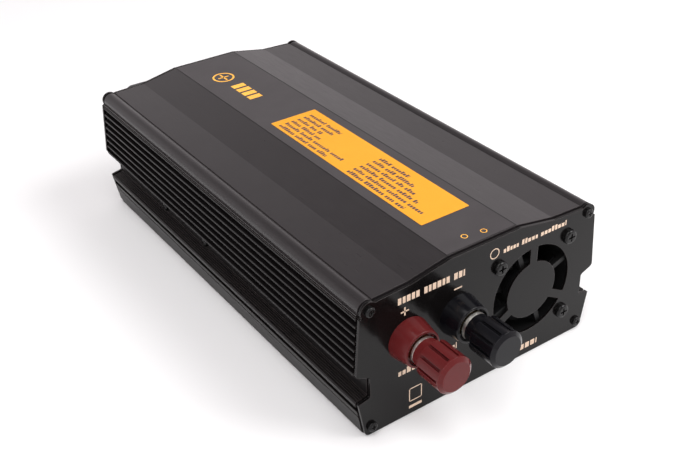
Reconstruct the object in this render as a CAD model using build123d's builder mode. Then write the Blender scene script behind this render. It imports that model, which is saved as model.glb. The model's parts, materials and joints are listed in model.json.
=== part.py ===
"""Power inverter: extruded aluminium case, DC binding posts and fan in front, outlet and switch behind.

Millimetres. +X is right seen from the DC end, +Y runs to the outlet end, +Z is up. The origin is the
bottom centre of the overall box. Every piece is its own solid in its own file under parts/.
"""
import math
import os

from build123d import *

os.makedirs("parts", exist_ok=True)

# Case
BODY_LENGTH = 300.0        # outer face to outer face of the end plates
FRONT_Y = -134.3           # outer face of the front plate
REAR_Y = FRONT_Y + BODY_LENGTH
PLATE_T = 1.5
GASKET_T = 1.5
SHELL_Y0 = FRONT_Y + PLATE_T + GASKET_T
SHELL_Y1 = REAR_Y - PLATE_T - GASKET_T
SHELL_LENGTH = SHELL_Y1 - SHELL_Y0
FLOOR_T = 2.5
WALL_IN_X = 71.3           # inner face of the side walls
NOTCH_X = 73.7             # outer face of the wall inside the side channel
FIN_ROOT_X = 75.2
FIN_PITCH = 4.65
FIN_T = 1.3
FIN_Z0 = 41.3
FIN_COUNT = 8
SEAM_Z = 76.4
COVER_Z = 88.7
STRIP_HALF = 23.2
TOP_SCREW = (73.4, 78.9)
LOW_SCREW = (73.2, 5.6)
BEAD_R = 5.0

# Fan
FAN_X = 34.8
FAN_Z = 44.4
FAN_SIZE = 60.0
FAN_DEPTH = 25.0
FAN_SPACING = 50.0
GRILLE_R = 27.5
GRILLE_DISC_R = 17.5
GRILLE_SPOKE = 5.0
FAN_Y0 = FRONT_Y + PLATE_T

# Binding posts
POST_XS = {"positive": -49.8, "negative": -17.3}
POST_Z = 51.7
POST_WIDE_R = 12.4
POST_NARROW_R = 10.6
POST_LENGTH = 11.9
WASHER_R = 7.9
STUD_R = 4.0
CAP_R = 10.5
CAP_COLLAR_R = 8.0
CAP_LENGTH = 23.7
CAP_RIBS = 10

# Clamp rows of power transistors
WALL_PAD_T = 0.5
CLAMP_Z = 28.5
CLAMP_SCREW_STEP = 54.0
CLAMP_ROWS = {"left": (-1, FRONT_Y + 200.0), "right": (1, FRONT_Y + 96.0)}

# Main board
BOARD_Z = 12.0
BOARD_T = 1.6
BOARD_TOP = BOARD_Z + BOARD_T
BOARD_HALF_X = 69.5
BOARD_Y0 = FRONT_Y + 34.0
BOARD_Y1 = FRONT_Y + 284.0

# Outlet end
OUTLET_X = -34.6
OUTLET_Z = 57.4
FLANGE_T = 5.0
VENT_X = 47.0
VENT_Z = 46.0
SWITCH_X = 6.0
SWITCH_Z = 52.0
LIGHT_XS = {"power": 0.0, "fault": 12.0}
LIGHT_Z = 24.0


def section(y):
    """Sketch plane across the case at y, with sketch x to +X and sketch y to +Z; it extrudes to -Y."""
    return Plane.XZ.offset(-y)


def mirrored(points):
    """Close a right-hand half outline that starts and ends on the middle plane."""
    left = [(-x, z) for x, z in reversed(points) if x > 0.0]
    return points + left


def both(x, z):
    """The two mirrored positions of a feature."""
    return [(-x, z), (x, z)]


def save(builder, name):
    builder.part.label = name
    export_step(builder.part, f"parts/{name}.step")


# ---------------------------------------------------------------- case extrusions

def fin_tip_x(z):
    """Outer line of the finned wall, which leans in towards the top."""
    return 82.0 - (z - FIN_Z0) * 2.6 / 33.4


def lip_x(z):
    """Outer line of the lip below the side channel."""
    return 77.4 + (z - 1.2) * 0.18


def base_outline():
    points = [(0.0, 0.0), (76.2, 0.0), (77.4, 1.2)]
    points += [(lip_x(12.5), 12.5), (78.0, 12.5), (78.0, 13.3), (lip_x(13.3), 13.3)]
    points += [(lip_x(16.4), 16.4), (77.6, 16.4), (78.2, 19.9), (lip_x(19.9), 19.9)]
    points += [(lip_x(22.4), 22.4), (80.7, 23.2)]
    for step in range(5):
        x = 79.9 - step * 1.2
        z = 23.2 + (80.7 - x) * 0.21
        points += [(x, z), (x - 0.3, z - 0.9), (x - 0.6, z + 0.1)]
    points += [(NOTCH_X, 24.7), (NOTCH_X, 37.4), (74.6, 38.8)]
    points.append((fin_tip_x(FIN_Z0), FIN_Z0))
    for step in range(FIN_COUNT - 1):
        low = FIN_Z0 + step * FIN_PITCH + FIN_T
        high = FIN_Z0 + (step + 1) * FIN_PITCH
        points += [(fin_tip_x(low), low), (FIN_ROOT_X, low + 0.2)]
        points += [(FIN_ROOT_X, high - 0.2), (fin_tip_x(high), high)]
    points += [(79.35, 75.0), (77.4, 75.1), (77.4, 75.7), (79.3, 75.7), (79.25, 76.1), (77.3, 76.1)]
    points += [(77.3, SEAM_Z), (WALL_IN_X, SEAM_Z), (WALL_IN_X, 11.2), (68.8, 9.4), (68.8, FLOOR_T), (0.0, FLOOR_T)]
    return mirrored(points)


def lip_cell(side):
    return [(side * x, z) for x, z in [(74.2, 11.4), (75.7, 11.4), (75.7, 20.4), (74.2, 21.0)]]


def clamp_screw_ys(name):
    middle = CLAMP_ROWS[name][1]
    return [middle - CLAMP_SCREW_STEP / 2, middle + CLAMP_SCREW_STEP / 2]


with BuildPart() as base_extrusion:
    with BuildSketch(section(SHELL_Y1)) as base_section:
        with BuildLine():
            Polyline(*base_outline(), close=True)
        make_face()
        tips = [v for v in base_section.vertices() if abs(v.X) > 79.0 and 41.0 < v.Y < 75.3]
        fillet(tips, 0.25)
        with Locations(*both(*LOW_SCREW)):
            Circle(1.5, mode=Mode.SUBTRACT)
        for side in (-1, 1):
            with BuildLine():
                Polyline(*lip_cell(side), close=True)
            make_face(mode=Mode.SUBTRACT)
    extrude(amount=SHELL_LENGTH)
    for row in CLAMP_ROWS:
        side = CLAMP_ROWS[row][0]
        with BuildSketch(Plane.YZ.offset(side * (NOTCH_X + WALL_IN_X) / 2)):
            with Locations(*[(y, CLAMP_Z) for y in clamp_screw_ys(row)]):
                Circle(1.7)
        extrude(amount=2.0, both=True, mode=Mode.SUBTRACT)
save(base_extrusion, "base_extrusion")


def cover_outline():
    points = [(0.0, COVER_Z), (23.4, COVER_Z), (48.5, 84.1), (69.7, 83.2), (70.5, 81.4)]
    points += [(77.6, 77.7), (77.8, 77.3), (79.1, 77.3), (79.1, SEAM_Z + 0.1), (71.1, SEAM_Z + 0.1)]
    points += [(71.1, 70.5), (69.2, 70.5), (69.2, 79.2), (67.4, 81.1), (48.2, 82.0)]
    points += [(23.2, COVER_Z - 2.0), (0.0, COVER_Z - 2.0)]
    return mirrored(points)


with BuildPart() as top_cover:
    with BuildSketch(section(SHELL_Y1)):
        with BuildLine():
            Polyline(*cover_outline(), close=True)
        make_face()
        with Locations(*both(*TOP_SCREW)):
            Circle(BEAD_R)
        with Locations(*both(76.1, 73.3)):
            Rectangle(10.0, 6.4, mode=Mode.SUBTRACT)
        with Locations(*both(79.3, 76.45)):
            Rectangle(4.0, 0.7, mode=Mode.SUBTRACT)
        with Locations(*both(*TOP_SCREW)):
            Circle(1.5, mode=Mode.SUBTRACT)
    extrude(amount=SHELL_LENGTH)
save(top_cover, "top_cover")

with BuildPart() as centre_strip:
    with BuildSketch(Plane.XY.offset(COVER_Z)):
        with Locations((0.0, (SHELL_Y0 + SHELL_Y1) / 2)):
            Rectangle(2 * STRIP_HALF, SHELL_LENGTH - 1.0)
    extrude(amount=0.3)
save(centre_strip, "centre_strip")

with BuildPart() as rating_label:
    with BuildSketch(Plane.XY.offset(COVER_Z + 0.3)):
        with Locations((0.0, FRONT_Y + 106.9)):
            RectangleRounded(32.5, 149.3, 0.6)
    extrude(amount=0.15)
save(rating_label, "rating_label")


# ---------------------------------------------------------------- end plates and gaskets

def plate_outline():
    points = [(0.0, 0.3), (77.0, 0.3), (81.1, 23.3), (73.7, 24.8), (73.7, 38.0), (82.0, 41.2)]
    points += [(79.3, 75.8), (78.4, 76.4), (71.5, 81.6), (69.4, 82.8), (48.6, 83.6), (23.5, 88.3)]
    points.append((0.0, 88.3))
    return mirrored(points)


def near(sketch, x, z):
    """The sketch vertices at a mirrored pair of outline corners."""
    return [v for v in sketch.vertices() if abs(abs(v.X) - x) < 0.05 and abs(v.Y - z) < 0.05]


def end_plate_blank(y1, thickness):
    """Blank end plate whose rear face lies at y1, with its four corner holes."""
    with BuildPart() as blank:
        with BuildSketch(section(y1)) as outline:
            with BuildLine():
                Polyline(*plate_outline(), close=True)
            make_face()
            fillet(near(outline, 77.0, 0.3), 3.0)
            fillet(near(outline, 81.1, 23.3), 0.8)
            fillet(near(outline, 73.7, 24.8), 0.8)
            fillet(near(outline, 73.7, 38.0), 2.0)
            fillet(near(outline, 82.0, 41.2), 2.5)
            fillet(near(outline, 79.3, 75.8), 0.5)
            with Locations(*both(*TOP_SCREW)):
                Circle(5.2)
            with Locations(*both(*TOP_SCREW), *both(*LOW_SCREW)):
                Circle(1.7, mode=Mode.SUBTRACT)
        extrude(amount=thickness)
    return blank.part


front_blank = end_plate_blank(FRONT_Y + PLATE_T, PLATE_T)
rear_blank = end_plate_blank(REAR_Y, PLATE_T)

with BuildPart() as front_plate:
    add(front_blank)
    with BuildSketch(section(FRONT_Y + PLATE_T)):
        with Locations((FAN_X, FAN_Z)):
            Circle(GRILLE_R)
            Circle(GRILLE_DISC_R, mode=Mode.SUBTRACT)
            with PolarLocations(0.0, 3, start_angle=90.0):
                with Locations((GRILLE_R / 2 + 2.0, 0.0)):
                    Rectangle(GRILLE_R + 4.0, GRILLE_SPOKE, mode=Mode.SUBTRACT)
    extrude(amount=PLATE_T, mode=Mode.SUBTRACT)
    with BuildSketch(section(FRONT_Y + PLATE_T)):
        with Locations((FAN_X, FAN_Z)):
            with GridLocations(FAN_SPACING, FAN_SPACING, 2, 2):
                Circle(2.1)
        with Locations(*[(x, POST_Z) for x in POST_XS.values()]):
            Circle(5.5)
    extrude(amount=PLATE_T, mode=Mode.SUBTRACT)
save(front_plate, "front_plate")

with BuildPart() as rear_plate:
    add(rear_blank)
    with BuildSketch(section(REAR_Y)):
        with Locations((OUTLET_X, OUTLET_Z)):
            Circle(21.9)
            with Locations((-21.0, -21.0), (21.0, 21.0)):
                Circle(1.7)
        with Locations((SWITCH_X, SWITCH_Z)):
            RectangleRounded(22.4, 28.4, 0.8)
        with Locations(*[(x, LIGHT_Z) for x in LIGHT_XS.values()]):
            Circle(3.1)
        with Locations((VENT_X, VENT_Z)):
            with GridLocations(6.0, 0.0, 7, 1):
                SlotOverall(46.0, 3.2, rotation=90.0)
    extrude(amount=PLATE_T, mode=Mode.SUBTRACT)
save(rear_plate, "rear_plate")


def end_gasket(y1):
    """Thin black seal between an end plate and the two extrusions."""
    outer = [(0.0, 1.8), (75.2, 1.8), (78.8, 21.4), (72.3, 22.6), (72.3, 39.8), (79.6, 42.8)]
    outer += [(77.2, 74.8), (76.4, 78.0), (73.2, 81.2), (69.4, 80.8), (48.3, 81.8), (23.2, 86.5), (0.0, 86.5)]
    inner = [(0.0, 4.4), (66.8, 4.4), (66.8, 11.0), (69.6, 12.8), (69.6, 73.0), (66.4, 78.4)]
    inner += [(47.8, 79.6), (22.8, 84.3), (0.0, 84.3)]
    with BuildPart() as gasket:
        with BuildSketch(section(y1)):
            with BuildLine():
                Polyline(*mirrored(outer), close=True)
            make_face()
            with BuildLine():
                Polyline(*mirrored(inner), close=True)
            make_face(mode=Mode.SUBTRACT)
            with Locations(*both(*TOP_SCREW)):
                Circle(3.4)
            with Locations(*both(*TOP_SCREW), *both(*LOW_SCREW)):
                Circle(1.7, mode=Mode.SUBTRACT)
        extrude(amount=GASKET_T)
    return gasket


gaskets = [end_gasket(SHELL_Y0), end_gasket(REAR_Y - PLATE_T)]
with BuildPart() as end_gaskets:
    for gasket in gaskets:
        add(gasket.part)
save(end_gaskets, "end_gaskets")


# ---------------------------------------------------------------- screws and nuts

def pan_screw(head_r, head_h, shank_r, length):
    """Cross-recess pan-head screw: head above the seat plane at z = 0, shank below it."""
    with BuildPart() as screw:
        Cylinder(head_r, head_h, align=(Align.CENTER, Align.CENTER, Align.MIN))
        fillet(screw.edges().group_by(Axis.Z)[-1], head_h * 0.55)
        with BuildSketch(Plane.XY.offset(head_h)):
            Rectangle(head_r * 1.15, head_r * 0.26)
            Rectangle(head_r * 0.26, head_r * 1.15)
            Circle(head_r * 0.24)
        extrude(amount=-head_h * 0.62, taper=8.0, mode=Mode.SUBTRACT)
        Cylinder(shank_r, length, align=(Align.CENTER, Align.CENTER, Align.MAX))
        chamfer(screw.edges().group_by(Axis.Z)[0], shank_r * 0.35)
    return screw.part


def hex_nut(flats, height, bore_r):
    """Hexagon nut standing on z = 0."""
    with BuildPart() as nut:
        with BuildSketch():
            RegularPolygon(flats / 2, 6, major_radius=False)
            Circle(bore_r, mode=Mode.SUBTRACT)
        extrude(amount=height)
        with BuildSketch(Plane.XY):
            Circle(flats / 2 * 1.11)
        extrude(amount=height, mode=Mode.INTERSECT)
    return nut.part


def placed(piece, positions, turn):
    """A group of equal solids, each turned by turn and set at its own position."""
    with BuildPart() as group:
        with Locations(*[Location(position, turn) for position in positions]):
            add(piece)
    return group


OUT_FRONT = (90.0, 0.0, 0.0)
OUT_REAR = (-90.0, 0.0, 0.0)
corner_holes = both(*TOP_SCREW) + both(*LOW_SCREW)
corner_screw = pan_screw(2.9, 2.0, 1.45, 12.0)
with BuildPart() as corner_screws:
    with Locations(*[Location((x, FRONT_Y, z), OUT_FRONT) for x, z in corner_holes]):
        add(corner_screw)
    with Locations(*[Location((x, REAR_Y, z), OUT_REAR) for x, z in corner_holes]):
        add(corner_screw)
save(corner_screws, "corner_screws")

fan_holes = [(FAN_X + sx * 25.0, FAN_Z + sz * 25.0) for sx in (-1, 1) for sz in (-1, 1)]
fan_screw = pan_screw(4.3, 2.7, 1.9, PLATE_T + FAN_DEPTH + 5.0)
save(placed(fan_screw, [(x, FRONT_Y, z) for x, z in fan_holes], OUT_FRONT), "fan_screws")
fan_nut = hex_nut(7.0, 3.2, 1.95)
fan_nut_y = FAN_Y0 + FAN_DEPTH
save(placed(fan_nut, [(x, fan_nut_y, z) for x, z in fan_holes], OUT_REAR), "fan_nuts")


# ---------------------------------------------------------------- fan

with BuildPart() as fan_frame:
    with BuildSketch(section(FAN_Y0 + FAN_DEPTH)):
        with Locations((FAN_X, FAN_Z)):
            RectangleRounded(FAN_SIZE, FAN_SIZE, 4.5)
    extrude(amount=FAN_DEPTH)
    with BuildSketch(section(FAN_Y0 + FAN_DEPTH - 3.5)):
        with Locations((FAN_X, FAN_Z)):
            Rectangle(FAN_SIZE + 2.0, FAN_SIZE + 2.0)
            Circle(29.8, mode=Mode.SUBTRACT)
    extrude(amount=FAN_DEPTH - 7.0, mode=Mode.SUBTRACT)
    with BuildSketch(section(FAN_Y0 + FAN_DEPTH)):
        with Locations((FAN_X, FAN_Z)):
            Circle(28.4)
            with GridLocations(FAN_SPACING, FAN_SPACING, 2, 2):
                Circle(2.2)
    extrude(amount=FAN_DEPTH, mode=Mode.SUBTRACT)
    with BuildSketch(section(FAN_Y0 + 3.5)):
        with Locations((FAN_X, FAN_Z)):
            Circle(15.5)
            with PolarLocations(0.0, 4, start_angle=20.0):
                with Locations((21.5, 0.0)):
                    Rectangle(14.4, 3.0)
    extrude(amount=3.0)
    with BuildSketch(section(FAN_Y0 + 17.0)):
        with Locations((FAN_X, FAN_Z)):
            Circle(4.0)
    extrude(amount=14.0)
    with BuildSketch(section(FAN_Y0 + 17.0)):
        with Locations((FAN_X, FAN_Z)):
            Circle(1.55)
    extrude(amount=12.0, mode=Mode.SUBTRACT)
save(fan_frame, "fan_frame")

with BuildPart() as fan_stator:
    with BuildSketch(section(FAN_Y0 + 15.5)):
        with Locations((FAN_X, FAN_Z)):
            Circle(6.2)
            with PolarLocations(0.0, 4, start_angle=45.0):
                with Locations((8.2, 0.0)):
                    Rectangle(6.0, 5.6)
            Circle(4.0, mode=Mode.SUBTRACT)
    extrude(amount=8.0)
    with BuildSketch(section(FAN_Y0 + 13.5)):
        with Locations((FAN_X, FAN_Z)):
            Circle(12.4)
            Circle(10.6, mode=Mode.SUBTRACT)
            with PolarLocations(0.0, 4):
                with Locations((11.0, 0.0)):
                    Rectangle(6.0, 3.4, mode=Mode.SUBTRACT)
    extrude(amount=4.0)
save(fan_stator, "fan_stator")

with BuildPart() as fan_magnet:
    with BuildSketch(section(FAN_Y0 + 19.0)):
        with Locations((FAN_X, FAN_Z)):
            Circle(13.6)
            Circle(12.8, mode=Mode.SUBTRACT)
    extrude(amount=13.0)
save(fan_magnet, "fan_magnet")


# One twisted blade from the hub wall to the tip, in fan axes with z along the shaft
with BuildPart() as fan_blade:
    for radius, chord, pitch in ((14.4, 17.5, 48.0), (20.5, 17.5, 38.0), (26.0, 15.0, 30.0)):
        with BuildSketch(Plane.YZ.offset(radius)):
            Rectangle(chord, 1.4, rotation=pitch)
    loft()

with BuildPart() as fan_wheel:
    with Locations((0.0, 0.0, -1.2)):
        Cylinder(15.0, 17.7)
    fillet(fan_wheel.edges().group_by(Axis.Z)[0], 2.0)
    with PolarLocations(0.0, 7):
        add(fan_blade.part)
    with Locations((0.0, 0.0, 0.8)):
        Cylinder(13.6, 15.7, mode=Mode.SUBTRACT)
    with Locations((0.0, 0.0, -0.3)):
        Cylinder(1.5, 13.6)

with BuildPart() as fan_rotor:
    with Locations(Location((FAN_X, FAN_Y0 + 11.95, FAN_Z), OUT_FRONT)):
        add(fan_wheel.part)
save(fan_rotor, "fan_rotor")


# ---------------------------------------------------------------- wires

def wire(points, radius, bend):
    """Round lead along straight runs joined by tangent arcs."""
    with BuildPart() as lead:
        with BuildLine() as path:
            FilletPolyline(*points, radius=[bend] * (len(points) - 2))
        with BuildSketch(Plane(origin=path.line @ 0, z_dir=path.line % 0)):
            Circle(radius)
        sweep()
    return lead.part


def leads(routes, radius, bend):
    """Several leads kept as one node of separate solids."""
    pieces = [wire(points, radius, bend) for points in routes]
    with BuildPart() as group:
        for piece in pieces:
            add(piece)
    return group


# ---------------------------------------------------------------- binding posts

WASHERS = {"positive": [1.6], "negative": [1.0, 1.0]}
WASHER_GAP = 0.1


def post_disc(x, y1, radius, depth, mode=Mode.ADD):
    """Round slice of a post, from y1 towards the front; used inside a part block."""
    with Locations(Location((x, y1, POST_Z), OUT_FRONT)):
        Cylinder(radius, depth, align=(Align.CENTER, Align.CENTER, Align.MIN), mode=mode)


def post_body(x):
    """Tapered insulator with a recess for the stud's seat and a spigot through the plate."""
    slant = math.degrees(math.atan((POST_WIDE_R - POST_NARROW_R) / POST_LENGTH))
    with BuildPart() as body:
        with BuildSketch(section(FRONT_Y)):
            with Locations((x, POST_Z)):
                Circle(POST_WIDE_R)
        extrude(amount=POST_LENGTH, taper=slant)
        fillet(body.faces().sort_by(Axis.Y)[0].edges(), 0.7)
        post_disc(x, FRONT_Y - POST_LENGTH + 3.0, 9.4, 3.0, Mode.SUBTRACT)
        post_disc(x, FRONT_Y + 3.0, 5.3, 3.0)
        post_disc(x, FRONT_Y + 3.0, 4.2, 20.0, Mode.SUBTRACT)
    return body


# Threaded studs with the round seat that the washers press on
with BuildPart() as post_studs:
    for post_x in POST_XS.values():
        post_disc(post_x, FRONT_Y + 18.0, STUD_R, 50.0)
    chamfer(post_studs.edges().group_by(Axis.Y)[0], 0.8)
    chamfer(post_studs.edges().group_by(Axis.Y)[-1], 0.8)
    for post_x in POST_XS.values():
        post_disc(post_x, FRONT_Y - POST_LENGTH + 3.0, 7.6, 3.0)
save(post_studs, "post_studs")


def post_washers(x, thicknesses):
    with BuildPart() as washers:
        y = FRONT_Y - POST_LENGTH
        for thickness in thicknesses:
            post_disc(x, y, WASHER_R, thickness)
            y -= thickness + WASHER_GAP
        post_disc(x, FRONT_Y, STUD_R + 0.1, 20.0, Mode.SUBTRACT)
    return washers


def cap_start(thicknesses):
    """Y of the cap's seat on the washers."""
    return FRONT_Y - POST_LENGTH - sum(thicknesses) - WASHER_GAP * len(thicknesses)


def post_cap(x, y):
    """Ribbed plastic cap: plain collar, ribs, rim and bevelled face."""
    with BuildPart() as cap:
        post_disc(x, y, CAP_COLLAR_R, 6.4)
        with BuildSketch(section(y - 6.2)):
            with Locations((x, POST_Z)):
                Circle(CAP_R)
                with PolarLocations(CAP_R, CAP_RIBS):
                    Rectangle(4.0, 1.8, mode=Mode.SUBTRACT)
        extrude(amount=14.8)
        post_disc(x, y - 21.0, CAP_R, CAP_LENGTH - 21.0)
        chamfer(cap.faces().sort_by(Axis.Y)[0].edges(), 1.6, 2.1)
        post_disc(x, y, 5.7, 19.5, Mode.SUBTRACT)
    return cap


def cap_insert(x, y):
    """Brass threaded insert moulded into the cap."""
    with BuildPart() as insert:
        post_disc(x, y, 5.7, 16.0)
        post_disc(x, y, STUD_R + 0.05, 16.0, Mode.SUBTRACT)
    return insert


for pole, post_x in POST_XS.items():
    seat_y = cap_start(WASHERS[pole])
    save(post_body(post_x), f"{pole}_post_body")
    save(post_washers(post_x, WASHERS[pole]), f"{pole}_washers")
    save(post_cap(post_x, seat_y), f"{pole}_cap")
    save(cap_insert(post_x, seat_y), f"{pole}_cap_insert")

with BuildPart() as post_insulators:
    for post_x in POST_XS.values():
        post_disc(post_x, FRONT_Y + PLATE_T + 2.0, 11.0, 2.0)
        post_disc(post_x, FRONT_Y + PLATE_T + 2.0, 5.4, 2.0, Mode.SUBTRACT)
save(post_insulators, "post_insulators")

post_nut = hex_nut(13.0, 4.5, STUD_R + 0.05)
nut_ys = (FRONT_Y + 3.5, FRONT_Y + 9.5)
nut_positions = [(x, y, POST_Z) for x in POST_XS.values() for y in nut_ys]
save(placed(post_nut, nut_positions, OUT_REAR), "post_nuts")


# Crimped ring lugs hanging from the studs
with BuildPart() as ring_lugs:
    with BuildSketch(section(FRONT_Y + 9.5)):
        with Locations(*[(x, POST_Z) for x in POST_XS.values()]):
            Circle(7.6)
            with Locations((0.0, -9.0)):
                Rectangle(9.0, 10.0)
            Circle(STUD_R + 0.2, mode=Mode.SUBTRACT)
    extrude(amount=1.5)
    with BuildSketch(Plane.XY.offset(POST_Z - 22.0)):
        with Locations(*[(x, FRONT_Y + 8.75) for x in POST_XS.values()]):
            Circle(4.6)
            Circle(3.5, mode=Mode.SUBTRACT)
    extrude(amount=9.0)
save(ring_lugs, "ring_lugs")

for pole, post_x in POST_XS.items():
    route = [(post_x, FRONT_Y + 8.75, POST_Z - 14.0), (post_x, FRONT_Y + 8.75, 23.5),
             (post_x, FRONT_Y + 42.0, 23.5), (post_x, FRONT_Y + 42.0, BOARD_TOP)]
    save(leads([route], 3.4, 6.0), f"{pole}_lead")


# ---------------------------------------------------------------- main board and what stands on it

board_middle_y = (BOARD_Y0 + BOARD_Y1) / 2
screw_spots = [(x, board_middle_y + dy) for x in (-60.0, 60.0) for dy in (-118.0, 0.0, 118.0)]

with BuildPart() as main_board:
    with BuildSketch(Plane.XY.offset(BOARD_Z)):
        with Locations((0.0, board_middle_y)):
            Rectangle(2 * BOARD_HALF_X, BOARD_Y1 - BOARD_Y0)
        with Locations(*screw_spots):
            Circle(1.7, mode=Mode.SUBTRACT)
    extrude(amount=BOARD_T)
save(main_board, "main_board")

with BuildPart() as board_standoffs:
    with BuildSketch(Plane.XY.offset(FLOOR_T)):
        with Locations(*screw_spots):
            RegularPolygon(3.0, 6, major_radius=False)
            Circle(1.5, mode=Mode.SUBTRACT)
    extrude(amount=BOARD_Z - FLOOR_T)
save(board_standoffs, "board_standoffs")

board_screw = pan_screw(2.8, 1.9, 1.45, 7.0)
save(placed(board_screw, [(x, y, BOARD_TOP) for x, y in screw_spots], (0, 0, 0)), "board_screws")


def can_capacitors(spots, radius, height):
    """Upright electrolytic cans with a rolled neck and a rounded top edge."""
    with BuildPart() as cans:
        with BuildSketch(Plane.XY.offset(BOARD_TOP)):
            with Locations(*spots):
                Circle(radius)
        extrude(amount=height)
        fillet(cans.edges().group_by(Axis.Z)[-1], 0.8)
        with BuildSketch(Plane.XY.offset(BOARD_TOP + 2.6)):
            with Locations(*spots):
                Circle(radius + 1.0)
                Circle(radius - 0.5, mode=Mode.SUBTRACT)
        extrude(amount=1.2, mode=Mode.SUBTRACT)
        with BuildSketch(Plane.XY.offset(BOARD_TOP + height)):
            with Locations(*spots):
                Rectangle(radius * 1.5, 0.6)
                Rectangle(0.6, radius * 1.5)
        extrude(amount=-0.4, mode=Mode.SUBTRACT)
    return cans


input_spots = [(x, FRONT_Y + 76.0 + dy) for x in (-52.0, -33.0) for dy in (0.0, 19.0)]
save(can_capacitors(input_spots, 8.0, 31.0), "input_capacitors")
bulk_spots = [(-30.0, FRONT_Y + 212.0), (-30.0, FRONT_Y + 238.0)]
save(can_capacitors(bulk_spots, 11.0, 40.0), "bulk_capacitors")

# Transformers: pairs of E cores round an upright bobbin
TRANSFORMER_YS = (FRONT_Y + 92.0, FRONT_Y + 136.0)
TRANSFORMER_X = 6.0
CORE_Z0 = BOARD_TOP + 3.4
CORE_HEIGHT = 38.0

with BuildPart() as transformer_cores:
    for y in TRANSFORMER_YS:
        with BuildSketch(section(y + 6.5)):
            with Locations((TRANSFORMER_X, CORE_Z0 + CORE_HEIGHT / 2)):
                Rectangle(42.0, CORE_HEIGHT)
                with GridLocations(21.0, 0.0, 2, 1):
                    Rectangle(8.0, 26.0, mode=Mode.SUBTRACT)
        extrude(amount=13.0)
save(transformer_cores, "transformer_cores")


BOBBIN_SLEEVES = [(6.2, 25.6, 15.4, 15.4, 0.6), (6.2, 1.2, 28.4, 31.0, 2.0), (30.6, 1.2, 28.4, 31.0, 2.0)]

with BuildPart() as transformer_bobbins:
    for y in TRANSFORMER_YS:
        for lift, height, size_x, size_y, corner in BOBBIN_SLEEVES:
            with BuildSketch(Plane.XY.offset(CORE_Z0 + lift)):
                with Locations((TRANSFORMER_X, y)):
                    RectangleRounded(size_x, size_y, corner)
                    Rectangle(13.2, 13.2, mode=Mode.SUBTRACT)
            extrude(amount=height)
        with Locations((TRANSFORMER_X, y - 11.3, BOARD_TOP), (TRANSFORMER_X, y + 11.3, BOARD_TOP)):
            Box(28.0, 8.4, CORE_Z0 + 6.2 - BOARD_TOP, align=(Align.CENTER, Align.CENTER, Align.MIN))
save(transformer_bobbins, "transformer_bobbins")

with BuildPart() as transformer_windings:
    for y in TRANSFORMER_YS:
        with BuildSketch(Plane.XY.offset(CORE_Z0 + 7.5)):
            with Locations((TRANSFORMER_X, y)):
                RectangleRounded(27.6, 29.6, 5.0)
                Rectangle(15.5, 15.5, mode=Mode.SUBTRACT)
        extrude(amount=23.0)
save(transformer_windings, "transformer_windings")

# Output inductor: upright ring core with spaced turns
INDUCTOR = (30.0, FRONT_Y + 252.0, BOARD_TOP + 20.5)

with BuildPart() as inductor_core:
    with BuildSketch(section(INDUCTOR[1] + 6.0)):
        with Locations((INDUCTOR[0], INDUCTOR[2])):
            Circle(16.0)
            Circle(9.0, mode=Mode.SUBTRACT)
    extrude(amount=12.0)
    fillet(inductor_core.edges().filter_by(GeomType.CIRCLE), 1.0)
save(inductor_core, "inductor_core")

with BuildPart() as one_turn:
    with BuildSketch(Plane.XY):
        with Locations((12.5, 0.0)):
            RectangleRounded(10.8, 15.8, 1.9)
            RectangleRounded(7.4, 12.4, 0.9, mode=Mode.SUBTRACT)
    extrude(amount=0.8, both=True)
    fillet(one_turn.edges(), 0.5)

with BuildPart() as inductor_winding:
    with Locations(Location(INDUCTOR, OUT_FRONT)):
        with PolarLocations(0.0, 20, start_angle=-72.0, angular_range=324.0, endpoint=True):
            with Locations(Location((0.0, 0.0, 0.0), (90.0, 0.0, 0.0))):
                add(one_turn.part)
save(inductor_winding, "inductor_winding")

with BuildPart() as film_capacitor:
    with Locations((-8.0, FRONT_Y + 258.0, BOARD_TOP)):
        Box(11.0, 27.0, 20.0, align=(Align.CENTER, Align.CENTER, Align.MIN))
    fillet(film_capacitor.edges().filter_by(Axis.Z), 0.8)
    fillet(film_capacitor.edges().group_by(Axis.Z)[-1], 0.6)
save(film_capacitor, "film_capacitor")

with BuildPart() as blade_fuses:
    for step in range(3):
        with Locations((18.0 + step * 12.0, FRONT_Y + 54.0, BOARD_TOP + 4.0)):
            Box(5.2, 19.0, 12.0, align=(Align.CENTER, Align.CENTER, Align.MIN))
            with Locations((0.0, -6.8, -4.0), (0.0, 6.8, -4.0)):
                Box(0.8, 5.2, 4.2, align=(Align.CENTER, Align.CENTER, Align.MIN))
save(blade_fuses, "blade_fuses")

CONTROL_X = 36.0
with BuildPart() as control_board:
    with Locations((CONTROL_X, FRONT_Y + 190.0, BOARD_TOP + 3.0)):
        Box(1.6, 64.0, 34.0, align=(Align.CENTER, Align.CENTER, Align.MIN))
    with Locations((CONTROL_X, FRONT_Y + 190.0, BOARD_TOP)):
        Box(2.5, 50.8, 3.0, align=(Align.CENTER, Align.CENTER, Align.MIN))
save(control_board, "control_board")

with BuildPart() as control_chips:
    for step in range(2):
        with Locations((CONTROL_X + 0.8, FRONT_Y + 177.0 + step * 27.0, BOARD_TOP + 20.0)):
            Box(3.6, 19.6, 6.4, align=(Align.MIN, Align.CENTER, Align.CENTER))
    chamfer(control_chips.edges().group_by(Axis.X)[-1], 0.4)
save(control_chips, "control_chips")


# ---------------------------------------------------------------- clamped transistor rows

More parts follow.
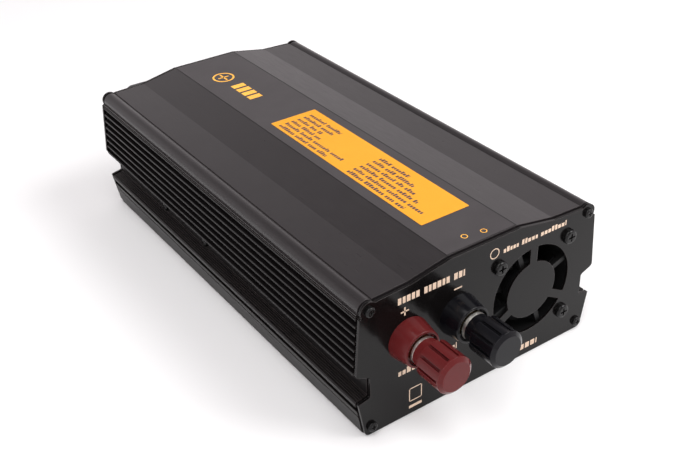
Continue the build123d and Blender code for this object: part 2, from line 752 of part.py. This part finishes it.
def transistor_row(side, middle):
    """Four flat-tab transistors standing against the side wall on their three legs."""
    wall = side * (WALL_IN_X - WALL_PAD_T)
    inward = (Align.MAX, Align.CENTER, Align.MIN) if side > 0 else (Align.MIN, Align.CENTER, Align.MIN)
    with BuildPart() as row:
        for step in range(4):
            y = middle + (step - 1.5) * 12.0
            with Locations((wall, y, 20.0)):
                Box(1.3, 10.0, 15.6, align=inward)
            with Locations((wall - side * 1.3, y, 20.0)):
                Box(3.2, 10.0, 9.4, align=inward)
            with Locations((wall - side * 2.4, y, BOARD_TOP)):
                with Locations((0.0, -2.54, 0.0), (0.0, 0.0, 0.0), (0.0, 2.54, 0.0)):
                    Box(0.6, 0.9, 6.5, align=(Align.CENTER, Align.CENTER, Align.MIN))
            with BuildSketch(Plane.YZ.offset(wall - side * 2.0)):
                with Locations((y, 32.6)):
                    Circle(1.8)
            extrude(amount=side * 3.0, mode=Mode.SUBTRACT)
    return row


for row, (side, middle) in CLAMP_ROWS.items():
    save(transistor_row(side, middle), f"{row}_transistors")

# Thin insulating strips between the transistors and the walls
with BuildPart() as wall_pads:
    for side, middle in CLAMP_ROWS.values():
        with BuildSketch(Plane.YZ.offset(side * (WALL_IN_X - WALL_PAD_T))):
            with Locations((middle, 28.0)):
                RectangleRounded(68.0, 18.0, 1.0)
                with Locations((-CLAMP_SCREW_STEP / 2, 0.5), (CLAMP_SCREW_STEP / 2, 0.5)):
                    Circle(2.0, mode=Mode.SUBTRACT)
        extrude(amount=side * WALL_PAD_T)
save(wall_pads, "wall_pads")

# Steel bars that press the rows to the walls, tapped for the clamp screws
with BuildPart() as clamp_bars:
    for side, middle in CLAMP_ROWS.values():
        with BuildSketch(Plane.YZ.offset(side * (WALL_IN_X - WALL_PAD_T - 4.5))):
            with Locations((middle, CLAMP_Z - 1.5)):
                RectangleRounded(66.0, 9.0, 1.2)
                with Locations((-CLAMP_SCREW_STEP / 2, 1.5), (CLAMP_SCREW_STEP / 2, 1.5)):
                    Circle(1.5, mode=Mode.SUBTRACT)
        extrude(amount=-side * 3.0)
save(clamp_bars, "clamp_bars")

clamp_screw = pan_screw(2.7, 1.7, 1.45, 10.6)
with BuildPart() as clamp_screws:
    for row, (side, middle) in CLAMP_ROWS.items():
        with Locations(*[Location((side * NOTCH_X, y, CLAMP_Z), (0.0, side * 90.0, 0.0))
                         for y in clamp_screw_ys(row)]):
            add(clamp_screw)
save(clamp_screws, "clamp_screws")


# ---------------------------------------------------------------- outlet, switch and lights

OUTLET_FACE_Y = REAR_Y + FLANGE_T
RECESS_DEPTH = 17.5

with BuildPart() as outlet_body:
    with BuildSketch(section(OUTLET_FACE_Y)):
        with Locations((OUTLET_X, OUTLET_Z)):
            RectangleRounded(50.0, 50.0, 5.0)
    extrude(amount=FLANGE_T)
    fillet(outlet_body.faces().sort_by(Axis.Y)[-1].edges(), 1.0)
    with BuildSketch(section(REAR_Y)):
        with Locations((OUTLET_X, OUTLET_Z)):
            Circle(21.6)
    extrude(amount=22.0)
    with BuildSketch(section(OUTLET_FACE_Y)):
        with Locations((OUTLET_X, OUTLET_Z)):
            Circle(19.6)
            with GridLocations(39.2, 0.0, 2, 1):
                Rectangle(3.6, 4.4, mode=Mode.SUBTRACT)
    extrude(amount=RECESS_DEPTH, mode=Mode.SUBTRACT)
    with BuildSketch(section(OUTLET_FACE_Y - RECESS_DEPTH)):
        with Locations((OUTLET_X, OUTLET_Z)):
            with GridLocations(19.0, 0.0, 2, 1):
                Circle(3.0)
            with Locations((0.0, 18.4), (0.0, -18.4)):
                Rectangle(7.0, 3.2)
    extrude(amount=10.0, mode=Mode.SUBTRACT)
    with BuildSketch(section(OUTLET_FACE_Y)):
        with Locations((OUTLET_X, OUTLET_Z)):
            with Locations((-21.0, -21.0), (21.0, 21.0)):
                Circle(1.7)
    extrude(amount=FLANGE_T + 1.0, mode=Mode.SUBTRACT)
save(outlet_body, "outlet_body")

with BuildPart() as outlet_contacts:
    with BuildSketch(section(OUTLET_FACE_Y - RECESS_DEPTH - 1.0)):
        with Locations((OUTLET_X, OUTLET_Z)):
            with GridLocations(19.0, 0.0, 2, 1):
                Circle(2.9)
    extrude(amount=9.0)
    with BuildSketch(section(OUTLET_FACE_Y - RECESS_DEPTH - 1.0)):
        with Locations((OUTLET_X, OUTLET_Z)):
            with GridLocations(19.0, 0.0, 2, 1):
                Circle(2.4)
    extrude(amount=6.5, mode=Mode.SUBTRACT)
save(outlet_contacts, "outlet_contacts")


def earth_clip(sign):
    """Sprung earth strip along one edge of the recess, bowed towards the plug."""
    outer = [(18.6, 0.6), (16.8, -7.0), (18.4, -14.0), (18.4, -20.0)]
    inner = [(19.4, 0.4), (17.6, -7.0), (19.2, -14.2), (19.2, -20.0)]
    with BuildPart() as clip:
        with BuildSketch(Plane.YZ.offset(OUTLET_X - 2.6)):
            with BuildLine():
                path = outer + inner[::-1]
                Polyline(*[(REAR_Y + y, OUTLET_Z + sign * z) for z, y in path], close=True)
            make_face()
        extrude(amount=5.2)
    return clip.part


clips = [earth_clip(sign) for sign in (-1, 1)]
with BuildPart() as earth_clips:
    for clip in clips:
        add(clip)
save(earth_clips, "earth_clips")

outlet_screw = pan_screw(2.6, 1.4, 1.45, 10.0)
outlet_holes = [(OUTLET_X + d, OUTLET_FACE_Y, OUTLET_Z + d) for d in (-21.0, 21.0)]
save(placed(outlet_screw, outlet_holes, OUT_REAR), "outlet_screws")

SWITCH_TAB = 7.0
with BuildPart() as switch_housing:
    with BuildSketch(section(REAR_Y + 2.0)):
        with Locations((SWITCH_X, SWITCH_Z)):
            RectangleRounded(25.0, 31.0, 2.0)
    extrude(amount=2.0)
    fillet(switch_housing.faces().sort_by(Axis.Y)[-1].edges(), 0.9)
    with BuildSketch(section(REAR_Y)):
        with Locations((SWITCH_X, SWITCH_Z)):
            RectangleRounded(22.0, 28.0, 0.8)
    extrude(amount=18.0)
    with BuildSketch(section(REAR_Y + 2.0)):
        with Locations((SWITCH_X, SWITCH_Z)):
            Rectangle(18.4, 25.6)
    extrude(amount=14.0, mode=Mode.SUBTRACT)
    with BuildSketch(section(REAR_Y - 18.0)):
        with Locations((SWITCH_X, SWITCH_Z)):
            with GridLocations(0.0, 9.0, 1, 2):
                Rectangle(6.3, 0.8)
    extrude(amount=SWITCH_TAB)
    with BuildSketch(Plane.YZ.offset(SWITCH_X)):
        with Locations((REAR_Y - 3.0, SWITCH_Z)):
            Circle(1.5)
    extrude(amount=10.5, both=True, mode=Mode.SUBTRACT)
save(switch_housing, "switch_housing")

ROCKER_TILT = 9.0
with BuildPart() as rocker_level:
    with BuildSketch(Plane.YZ):
        with BuildLine():
            profile = [(-1.6, -9.0), (-7.5, -3.0), (-7.5, 3.0), (-1.6, 9.0), (1.6, 11.6), (5.6, 11.6)]
            Polyline(*profile, (4.0, 0.0), (5.6, -11.6), (1.6, -11.6), close=True)
        make_face()
    extrude(amount=8.9, both=True)
    fillet(rocker_level.edges().filter_by(Axis.X).group_by(Axis.Y)[-1], 0.8)
    Cylinder(1.45, 20.4, rotation=(0.0, 90.0, 0.0))

with BuildPart() as switch_rocker:
    with Locations(Location((SWITCH_X, REAR_Y - 3.0, SWITCH_Z), (ROCKER_TILT, 0.0, 0.0))):
        add(rocker_level.part)
save(switch_rocker, "switch_rocker")


def light(x):
    """Domed indicator lens pushed through the plate from behind."""
    with BuildPart() as lens:
        with BuildSketch(section(REAR_Y + 1.6)):
            with Locations((x, LIGHT_Z)):
                Circle(3.0)
        extrude(amount=8.0)
        fillet(lens.faces().sort_by(Axis.Y)[-1].edges(), 1.3)
        with BuildSketch(section(REAR_Y - PLATE_T)):
            with Locations((x, LIGHT_Z)):
                Circle(3.8)
        extrude(amount=1.2)
    return lens


for light_name, light_x in LIGHT_XS.items():
    save(light(light_x), f"{light_name}_light")


# ---------------------------------------------------------------- internal leads and header

with BuildPart() as fan_header:
    with Locations((0.0, BOARD_Y0 + 8.0, BOARD_TOP)):
        Box(8.0, 6.0, 8.0, align=(Align.CENTER, Align.CENTER, Align.MIN))
    chamfer(fan_header.edges().group_by(Axis.Z)[-1], 0.4)
save(fan_header, "fan_header")

header_top = BOARD_TOP + 8.0
fan_routes = []
for offset in (-1.3, 1.3):
    low_y = FAN_Y0 + 1.75
    plug_y = BOARD_Y0 + 8.0
    route = [(FAN_X - 30.0, low_y, FAN_Z + offset), (-offset, low_y, FAN_Z + offset)]
    route += [(-offset, low_y, 30.0), (-offset, plug_y, 30.0), (-offset, plug_y, header_top)]
    fan_routes.append(route)
save(leads(fan_routes, 0.8, 2.0), "fan_leads")


def drop_route(x, y, z, run):
    """Route of a lead that leaves a rear part forwards and then drops to the board."""
    return [(x, y, z), (x, y - run, z), (x, y - run, BOARD_TOP)]


contact_tail_y = OUTLET_FACE_Y - RECESS_DEPTH - 10.0
outlet_routes = [drop_route(OUTLET_X + x, contact_tail_y, OUTLET_Z, 9.0) for x in (-9.5, 9.5)]
outlet_routes.append(drop_route(OUTLET_X, REAR_Y - 22.0, OUTLET_Z - 18.8, 9.0))
save(leads(outlet_routes, 1.5, 5.0), "outlet_leads")

tab_y = REAR_Y - 18.0 - SWITCH_TAB
switch_routes = [drop_route(SWITCH_X, tab_y, SWITCH_Z + z, run) for z, run in ((4.5, 15.0), (-4.5, 9.0))]
save(leads(switch_routes, 1.1, 4.0), "switch_leads")

light_routes = [drop_route(x + d, REAR_Y - 6.4, LIGHT_Z, 8.0) for x in LIGHT_XS.values() for d in (-1.2, 1.2)]
save(leads(light_routes, 0.5, 2.0), "light_leads")
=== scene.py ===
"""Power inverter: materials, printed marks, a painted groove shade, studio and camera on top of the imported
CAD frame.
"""
import json
import math
import random
import bmesh
import bpy
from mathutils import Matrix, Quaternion, Vector


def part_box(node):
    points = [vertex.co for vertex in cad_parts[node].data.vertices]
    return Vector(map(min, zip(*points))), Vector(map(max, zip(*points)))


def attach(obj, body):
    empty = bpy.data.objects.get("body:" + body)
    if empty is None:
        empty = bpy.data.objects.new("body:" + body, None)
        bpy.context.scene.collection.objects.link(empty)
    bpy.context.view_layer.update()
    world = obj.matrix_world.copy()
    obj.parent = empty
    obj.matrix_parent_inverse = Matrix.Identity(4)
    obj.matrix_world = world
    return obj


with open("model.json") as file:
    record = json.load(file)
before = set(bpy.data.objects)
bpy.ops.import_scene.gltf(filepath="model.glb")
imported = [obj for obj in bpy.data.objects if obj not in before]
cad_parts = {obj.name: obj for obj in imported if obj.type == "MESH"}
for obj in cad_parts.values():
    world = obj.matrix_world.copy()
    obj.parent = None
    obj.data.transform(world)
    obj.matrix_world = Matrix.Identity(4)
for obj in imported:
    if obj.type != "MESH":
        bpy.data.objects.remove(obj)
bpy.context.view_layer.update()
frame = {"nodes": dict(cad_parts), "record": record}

MM = 0.001


# ---------------------------------------------------------------- materials

NOISE_DETAIL, NOISE_ROUGHNESS = 3.0, 0.55
BLOTCH_RANGE = (0.30, 0.70)   # noise values over which the second tone comes in
SPECK_RANGE = (0.35, 0.65)    # noise values over which the fine specks go from dark to light
GLOSS_RANGE = (0.25, 0.75)    # noise values over which the roughness swings
LIGHT_SPECK = 0.8             # a light speck is this much as strong as a dark one
SECOND_GAIN, SECOND_LIFT = 1.25, 0.002   # the second tone, where none is given
WORN_AT, WHOLE_AT = 0.80, 0.97   # cosine between face and bevelled normal on a worn edge and beside it
BEVEL_SAMPLES = 4
BUMP_STRENGTH = 0.6
FINISHES = {}


def link(tree, a, b):
    tree.links.new(a, b)


def add_node(tree, kind, **values):
    node = tree.nodes.new(kind)
    for key, value in values.items():
        setattr(node, key, value)
    return node


def noise(tree, vector, scale):
    node = add_node(tree, "ShaderNodeTexNoise")
    node.inputs["Scale"].default_value = scale
    node.inputs["Detail"].default_value = NOISE_DETAIL
    node.inputs["Roughness"].default_value = NOISE_ROUGHNESS
    link(tree, vector, node.inputs["Vector"])
    return node.outputs["Fac"]


def map_range(tree, value, low, high, to_low, to_high):
    node = add_node(tree, "ShaderNodeMapRange")
    link(tree, value, node.inputs["Value"])
    for key, number in (("From Min", low), ("From Max", high), ("To Min", to_low), ("To Max", to_high)):
        node.inputs[key].default_value = number
    return node.outputs["Result"]


def mix_colour(tree, factor, a, b):
    """Colour mix of a and b, each a colour or a socket; sockets 6 and 7 are the colour inputs."""
    node = add_node(tree, "ShaderNodeMix", data_type="RGBA")
    link(tree, factor, node.inputs["Factor"])
    for socket, value in ((node.inputs[6], a), (node.inputs[7], b)):
        if isinstance(value, tuple):
            socket.default_value = (*value, 1.0)
        else:
            link(tree, value, socket)
    return node.outputs[2]


def finish(name, colour, rough, metal=0.0, second=None, grain=900.0, grain_depth=0.02, streak=None,
           wear=None, edge=0.25, rough_swing=0.06, ior=1.5, specular=0.5, blotch=60.0, transmission=0.0,
           speckle=0.15):
    """Procedural finish in object space: tone blotches, fine grain, optional streaks and worn edges.

    second is the tone of the blotches, wear the colour of worn edges, streak the stretch of the grain.
    grain and blotch are noise scales per metre; grain_depth and the edge radius are in mm.
    """
    made = bpy.data.materials.new(name)
    made.use_nodes = True
    tree = made.node_tree
    shader = tree.nodes["Principled BSDF"]
    coords = add_node(tree, "ShaderNodeTexCoord").outputs["Object"]
    if streak:
        stretch = add_node(tree, "ShaderNodeMapping")
        stretch.inputs["Scale"].default_value = streak
        link(tree, coords, stretch.inputs["Vector"])
        fine = noise(tree, stretch.outputs["Vector"], grain)
    else:
        fine = noise(tree, coords, grain)
    broad = noise(tree, coords, blotch)
    second = second or tuple(min(1.0, c * SECOND_GAIN + SECOND_LIFT) for c in colour)
    tone = mix_colour(tree, map_range(tree, broad, *BLOTCH_RANGE, 0.0, 1.0), colour, second)
    speck = map_range(tree, fine, *SPECK_RANGE, 1.0 - speckle, 1.0 + speckle * LIGHT_SPECK)
    scaled = add_node(tree, "ShaderNodeVectorMath", operation="SCALE")
    link(tree, tone, scaled.inputs[0])
    link(tree, speck, scaled.inputs["Scale"])
    base = scaled.outputs["Vector"]
    bevel = add_node(tree, "ShaderNodeBevel", samples=BEVEL_SAMPLES)
    bevel.inputs["Radius"].default_value = edge * MM
    if wear:
        geometry = add_node(tree, "ShaderNodeNewGeometry")
        dot = add_node(tree, "ShaderNodeVectorMath", operation="DOT_PRODUCT")
        link(tree, bevel.outputs["Normal"], dot.inputs[0])
        link(tree, geometry.outputs["Normal"], dot.inputs[1])
        rim = map_range(tree, dot.outputs["Value"], WORN_AT, WHOLE_AT, 1.0, 0.0)
        base = mix_colour(tree, rim, base, wear)
    link(tree, base, shader.inputs["Base Color"])
    link(tree, map_range(tree, fine, *GLOSS_RANGE, rough - rough_swing, rough + rough_swing),
         shader.inputs["Roughness"])
    bump = add_node(tree, "ShaderNodeBump")
    bump.inputs["Strength"].default_value = BUMP_STRENGTH
    bump.inputs["Distance"].default_value = grain_depth * MM
    link(tree, fine, bump.inputs["Height"])
    link(tree, bevel.outputs["Normal"], bump.inputs["Normal"])
    link(tree, bump.outputs["Normal"], shader.inputs["Normal"])
    shader.inputs["Metallic"].default_value = metal
    shader.inputs["Specular IOR Level"].default_value = specular
    shader.inputs["IOR"].default_value = ior
    shader.inputs["Transmission Weight"].default_value = transmission
    FINISHES[name] = made
    return made


ALONG_Y = (1.0, 0.05, 1.0)   # grain drawn out along the extrusions

# Case
finish("case_metal", (0.0155, 0.0132, 0.0140), 0.33, grain=1500.0, streak=ALONG_Y,
       second=(0.0175, 0.015, 0.0158), wear=(0.06, 0.05, 0.051), edge=0.35, grain_depth=0.008,
       ior=1.43, speckle=0.08)
# Base extrusion: less shiny than the cover, and darker in colour as painted shade for the finned side, which
# lies in shade.
finish("base_metal_with_painted_shade", (0.0050, 0.0040, 0.0042), 0.42, grain=1500.0, streak=ALONG_Y,
       second=(0.006, 0.0049, 0.0051), wear=(0.085, 0.068, 0.065), edge=0.3, grain_depth=0.008,
       ior=1.3)
finish("plate_metal", (0.0035, 0.003, 0.003), 0.16, grain=2600.0, grain_depth=0.003,
       second=(0.0042, 0.0037, 0.0037), wear=(0.07, 0.061, 0.06), edge=0.4, rough_swing=0.03, ior=1.27)
finish("strip_film", (0.040, 0.0355, 0.0372), 0.5, grain=3200.0, grain_depth=0.03, edge=0.1,
       second=(0.047, 0.0418, 0.0438), ior=1.4)
finish("label_print", (0.76, 0.325, 0.024), 0.6, grain=2800.0, grain_depth=0.01, edge=0.05,
       second=(0.79, 0.34, 0.027), ior=1.25, speckle=0.05)
finish("gasket_rubber", (0.006, 0.006, 0.006), 0.75, grain=1800.0)
finish("black_screw", (0.004, 0.004, 0.004), 0.2, metal=0.2, grain=2500.0,
       wear=(0.1, 0.095, 0.093), edge=0.18, ior=1.35)

# Posts, fan and other bare metal and plastic
finish("plain_steel", (0.78, 0.75, 0.70), 0.36, metal=1.0, grain=2200.0, grain_depth=0.01,
       streak=(1.0, 0.08, 1.0), wear=(0.75, 0.74, 0.72), edge=0.15)
finish("plated_brass", (0.62, 0.47, 0.22), 0.26, metal=1.0, grain=2200.0, edge=0.2)
finish("tinned_copper", (0.62, 0.60, 0.56), 0.32, metal=1.0, grain=1800.0, edge=0.2)
finish("red_plastic", (0.086, 0.0095, 0.0100), 0.17, grain=1600.0, grain_depth=0.001, edge=0.3,
       second=(0.094, 0.0110, 0.0115), wear=(0.20, 0.040, 0.041), rough_swing=0.02, ior=1.27,
       speckle=0.04)
finish("black_gloss_plastic", (0.0035, 0.0035, 0.0046), 0.16, grain=1600.0, grain_depth=0.001, edge=0.3,
       second=(0.0045, 0.0045, 0.006), wear=(0.035, 0.035, 0.04), rough_swing=0.02, ior=1.28,
       speckle=0.04)
finish("black_plastic", (0.011, 0.011, 0.012), 0.42, grain=2200.0, grain_depth=0.02, edge=0.3,
       wear=(0.03, 0.03, 0.03))
finish("fan_plastic", (0.004, 0.004, 0.0042), 0.5, grain=2200.0, edge=0.3, ior=1.3)

# Electronics
finish("winding_copper", (0.55, 0.19, 0.06), 0.3, metal=0.9, grain=900.0, edge=0.2)
finish("ferrite", (0.03, 0.03, 0.032), 0.55, grain=1300.0, grain_depth=0.03, edge=0.3)
finish("ferrite_yellow", (0.62, 0.45, 0.05), 0.5, grain=1200.0, edge=0.3)
for wire, colour in (("red_wire", (0.38, 0.012, 0.012)), ("black_wire", (0.012, 0.012, 0.012)),
                     ("blue_wire", (0.02, 0.07, 0.34))):
    finish(wire, colour, 0.42, grain=1500.0, edge=0.1)
finish("white_plastic", (0.74, 0.71, 0.64), 0.45, grain=1500.0, edge=0.2)
finish("board_laminate", (0.012, 0.11, 0.035), 0.36, second=(0.02, 0.16, 0.05), grain=2400.0,
       blotch=260.0, edge=0.15)
finish("can_sleeve", (0.012, 0.016, 0.045), 0.25, grain=1200.0, edge=0.3)
finish("winding_tape", (0.68, 0.45, 0.05), 0.35, grain=900.0, streak=(1.0, 1.0, 0.1), edge=0.3)
finish("film_box", (0.42, 0.012, 0.012), 0.33, grain=1600.0, edge=0.3)
finish("fuse_plastic", (0.75, 0.3, 0.03), 0.25, grain=1500.0, edge=0.2)
finish("pad_grey", (0.4, 0.4, 0.42), 0.6, grain=2000.0, edge=0.1)
for lens, colour in (("green_lens", (0.02, 0.42, 0.05)), ("red_lens", (0.5, 0.012, 0.012))):
    finish(lens, colour, 0.15, grain=900.0, edge=0.2, transmission=0.35)

# Nodes whose look differs from the rest of their material slot; the base extrusion's darker colour is painted
# shade
OWN_FINISH = {"base_extrusion": "base_metal_with_painted_shade", "fan_rotor": "fan_plastic", "fan_frame": "fan_plastic"}

for part in frame["record"]["subparts"]:
    node = frame["nodes"][part["node"]]
    node.data.materials.clear()
    node.data.materials.append(FINISHES[OWN_FINISH.get(part["node"], part["material_slot"])])

# Print inks, and one black that is painted shade for the groove along the strip's right edge.
for ink_or_shade, colour, rough in (("ink_ivory", (0.58, 0.44, 0.33), 0.6), ("ink_dark", (0.06, 0.03, 0.035), 0.6),
                           ("groove_shade_black", (0.006, 0.006, 0.006), 0.6), ("ink_amber", (0.9, 0.42, 0.05), 0.55)):
    finish(ink_or_shade, colour, rough, grain=3000.0, grain_depth=0.01, edge=0.02)


# ---------------------------------------------------------------- printed marks and a painted groove shade

MARK_GAP = 0.01   # mm between a surface and the underside of each flat mark, print and painted shade alike


def flat_marks(name, outlines, place, thickness, ink_or_shade, body="case"):
    """Thin flat shapes, print and painted shade alike: each outline is a list of (u, v) points in mm, place
    maps u, v, w to the frame.
    """
    mesh = bpy.data.meshes.new(name)
    work = bmesh.new()
    for outline in outlines:
        low = [work.verts.new(place(u, v, MARK_GAP)) for u, v in outline]
        high = [work.verts.new(place(u, v, MARK_GAP + thickness)) for u, v in outline]
        work.faces.new(high)
        work.faces.new(low[::-1])
        for i in range(len(low)):
            j = (i + 1) % len(low)
            work.faces.new((low[i], low[j], high[j], high[i]))
    bmesh.ops.recalc_face_normals(work, faces=work.faces)
    work.to_mesh(mesh)
    work.free()
    made = bpy.data.objects.new(name, mesh)
    bpy.context.scene.collection.objects.link(made)
    mesh.materials.append(FINISHES[ink_or_shade])
    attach(made, body)


def bar(u, v, width, height):
    return [(u, v), (u + width, v), (u + width, v + height), (u, v + height)]


NARROWEST, WIDEST = 0.75, 1.1   # a block's width over the mean letter
LOW_LETTER = 0.72               # the rest of these are over the height of the line
LETTER_GAP = 0.2
WORD_GAP = 0.55


def greeked(seed, u, v, length, height, letter=0.62, tall_share=0.3):
    """A row of plain blocks that stands for one line of print, from u to u + length."""
    rng = random.Random(seed)
    shapes = []
    end = u + length
    left_in_word = rng.randint(4, 9)
    while u < end:
        width = height * rng.uniform(letter * NARROWEST, letter * WIDEST)
        tall = height if rng.random() < tall_share else height * LOW_LETTER
        shapes.append(bar(u, v, min(width, end - u), tall))
        u += width + height * LETTER_GAP
        left_in_word -= 1
        if left_in_word == 0:
            u += height * WORD_GAP
            left_in_word = rng.randint(3, 9)
    return shapes


def ring(u, v, radius, width, steps=40):
    """A ring as short closed quads."""
    shapes = []
    for i in range(steps):
        a, b = (2 * math.pi * k / steps for k in (i, i + 1))
        corners = ((radius, a), (radius, b), (radius - width, b), (radius - width, a))
        shapes.append([(u + r * math.cos(t), v + r * math.sin(t)) for r, t in corners])
    return shapes


def square_line(u, v, width, height, line):
    """The outline of a rectangle as four bars."""
    return [bar(u, v, line, height), bar(u + width - line, v, line, height),
            bar(u, v, width, line), bar(u, v + height - line, width, line)]


front_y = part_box("front_plate")[0][1]
label_low, label_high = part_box("rating_label")
strip_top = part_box("centre_strip")[1][2]


def on_front(u, v, w):
    """u runs across the front plate from its middle, v up from the ground."""
    return Vector((u * MM, front_y - w * MM, v * MM))


def on_label(u, v, w):
    """u runs along the case from the far end of the label to the near end, v up to its right edge."""
    return Vector((label_low[0] + v * MM, label_high[1] - u * MM, label_high[2] + w * MM))


def on_strip(u, v, w):
    """u runs across the strip from its middle, v along it from the front plate."""
    return Vector((u * MM, front_y + v * MM, strip_top + w * MM))


SIGN_LINE = 0.9
front_marks = [bar(-54.5, 68.8, 5.0, SIGN_LINE), bar(-52.45, 66.75, SIGN_LINE, 5.0)]   # plus
front_marks += [bar(-20.6, 68.0, 5.2, SIGN_LINE)]                                      # minus
front_marks += greeked(1, -56.3, 74.6, 42.5, 3.9, 0.58, 1.0)   # above the posts
front_marks += greeked(2, -56.0, 29.4, 17.0, 3.9)              # below the red post
front_marks += greeked(3, -31.0, 29.6, 13.5, 3.9)              # between the posts
front_marks += greeked(4, 12.2, 77.4, 45.0, 3.1)               # above the fan
front_marks += greeked(5, 30.0, 4.4, 12.5, 5.0)                # below the fan
front_marks += ring(6.0, 79.5, 3.2, 0.6)
front_marks += [bar(-49.0, 4.0, 8.5, 1.8)] + square_line(-49.0, 8.5, 8.5, 9.0, 0.6)
flat_marks("front_print", front_marks, on_front, 0.02, "ink_ivory")

FIRST_LINE, LINE_PITCH = 24.8, 4.56   # mm across the label
LABEL_COLUMNS = ((5.5, (33, 31, 26, 31, 61, 51)), (78.5, (27, 37, 44, 52, 62, 52)))   # start, line lengths
label_marks = []
for start, lengths in LABEL_COLUMNS:
    for line, length in enumerate(lengths):
        label_marks += greeked(int(start) + line, start, FIRST_LINE - line * LINE_PITCH, length, 2.8, 0.6)
flat_marks("label_text", label_marks, on_label, 0.01, "ink_dark")

amber = ring(-5.0, 262.0, 7.5, 1.3)
amber += [bar(-5.5, 257.0, 1.2, 10.0), bar(-9.0, 261.4, 8.0, 1.2)]
amber += [bar(-8.5, 220.0 + 7.0 * k, 9.5, 5.0) for k in range(4)]
for u, v in ((5.9, 9.0), (-5.4, 11.0)):
    amber += ring(u, v, 1.9, 0.5, 20)
flat_marks("strip_marks", amber, on_strip, 0.01, "ink_amber")
# Painted shade: a thin black bar on the strip's right edge stands in for the shadowed groove beside the
# strip.
flat_marks("strip_groove_shade", [bar(22.5, 3.6, 0.65, 292.6)], on_strip, 0.01, "groove_shade_black")


# ---------------------------------------------------------------- studio and camera

FLOOR_REACH = 6.0      # metres from the middle to each side
FLOOR_DROP = 0.0002    # keeps the floor just clear of the base
LOW_SKY, HIGH_SKY = 0.30, 0.75           # heights on the sky dome where the fade starts and ends
LOW_STRENGTH, HIGH_STRENGTH = 1.05, 0.28
SKY_COLOUR = (1.0, 0.93, 0.95, 1.0)
CAMERA_FROM_FRONT = (-0.29512, -0.31183, 0.36847)   # metres from the foot of the front plate's face
CAMERA_LOOK = (0.47345, 0.69605, -0.53979)
CAMERA_ROLL = -1.768                     # degrees
LENS, SENSOR = 51.92, 36.0               # mm

floor_mesh = bpy.data.meshes.new("floor")
floor_corners = [(FLOOR_REACH * x, FLOOR_REACH * y, 0) for x, y in ((-1, -1), (1, -1), (1, 1), (-1, 1))]
floor_mesh.from_pydata(floor_corners, [], [(0, 1, 2, 3)])
floor = bpy.data.objects.new("floor", floor_mesh)
bpy.context.scene.collection.objects.link(floor)
floor.location.z = -FLOOR_DROP
floor_mesh.materials.append(finish("studio_floor", (0.9, 0.9, 0.9), 0.8, second=(0.9, 0.9, 0.9), grain=4000.0,
                                   specular=0.1, grain_depth=0.002, speckle=0.01))

world = bpy.data.worlds.new("studio")
bpy.context.scene.world = world
world.use_nodes = True
sky = world.node_tree
direction = add_node(sky, "ShaderNodeTexCoord").outputs["Generated"]
split = add_node(sky, "ShaderNodeSeparateXYZ")
link(sky, direction, split.inputs["Vector"])
fade = map_range(sky, split.outputs["Z"], LOW_SKY, HIGH_SKY, LOW_STRENGTH, HIGH_STRENGTH)
link(sky, fade, sky.nodes["Background"].inputs["Strength"])
sky.nodes["Background"].inputs["Color"].default_value = SKY_COLOUR


def soft_light(name, position, target, size, power):
    """Square area light of the given size in metres and power in watts, turned to target."""
    data = bpy.data.lights.new(name, "AREA")
    data.shape = "SQUARE"
    data.size = size
    data.energy = power
    lamp = bpy.data.objects.new(name, data)
    lamp.location = position
    lamp.rotation_mode = "QUATERNION"
    lamp.rotation_quaternion = (Vector(target) - Vector(position)).to_track_quat("-Z", "Y")
    bpy.context.scene.collection.objects.link(lamp)


soft_light("key", (0.9, -0.9, 1.3), (0.0, 0.0, 0.05), 0.9, 22.0)
soft_light("side", (-1.0, -0.8, 0.9), (0.0, -0.1, 0.05), 0.5, 3.5)
soft_light("top", (-0.5, -0.2, 1.6), (0.0, 0.0, 0.05), 1.2, 15.0)

view = bpy.data.cameras.new("camera")
view.sensor_width = SENSOR
view.lens = LENS
view.clip_start = 0.01
camera = bpy.data.objects.new("camera", view)
across, along, height = CAMERA_FROM_FRONT
camera.location = (across, front_y + along, height)
roll = Quaternion((0.0, 0.0, 1.0), math.radians(CAMERA_ROLL))
camera.rotation_mode = "QUATERNION"
camera.rotation_quaternion = Vector(CAMERA_LOOK).to_track_quat("-Z", "Y") @ roll
bpy.context.scene.collection.objects.link(camera)
bpy.context.scene.camera = camera
bpy.context.scene.view_settings.view_transform = "Standard"
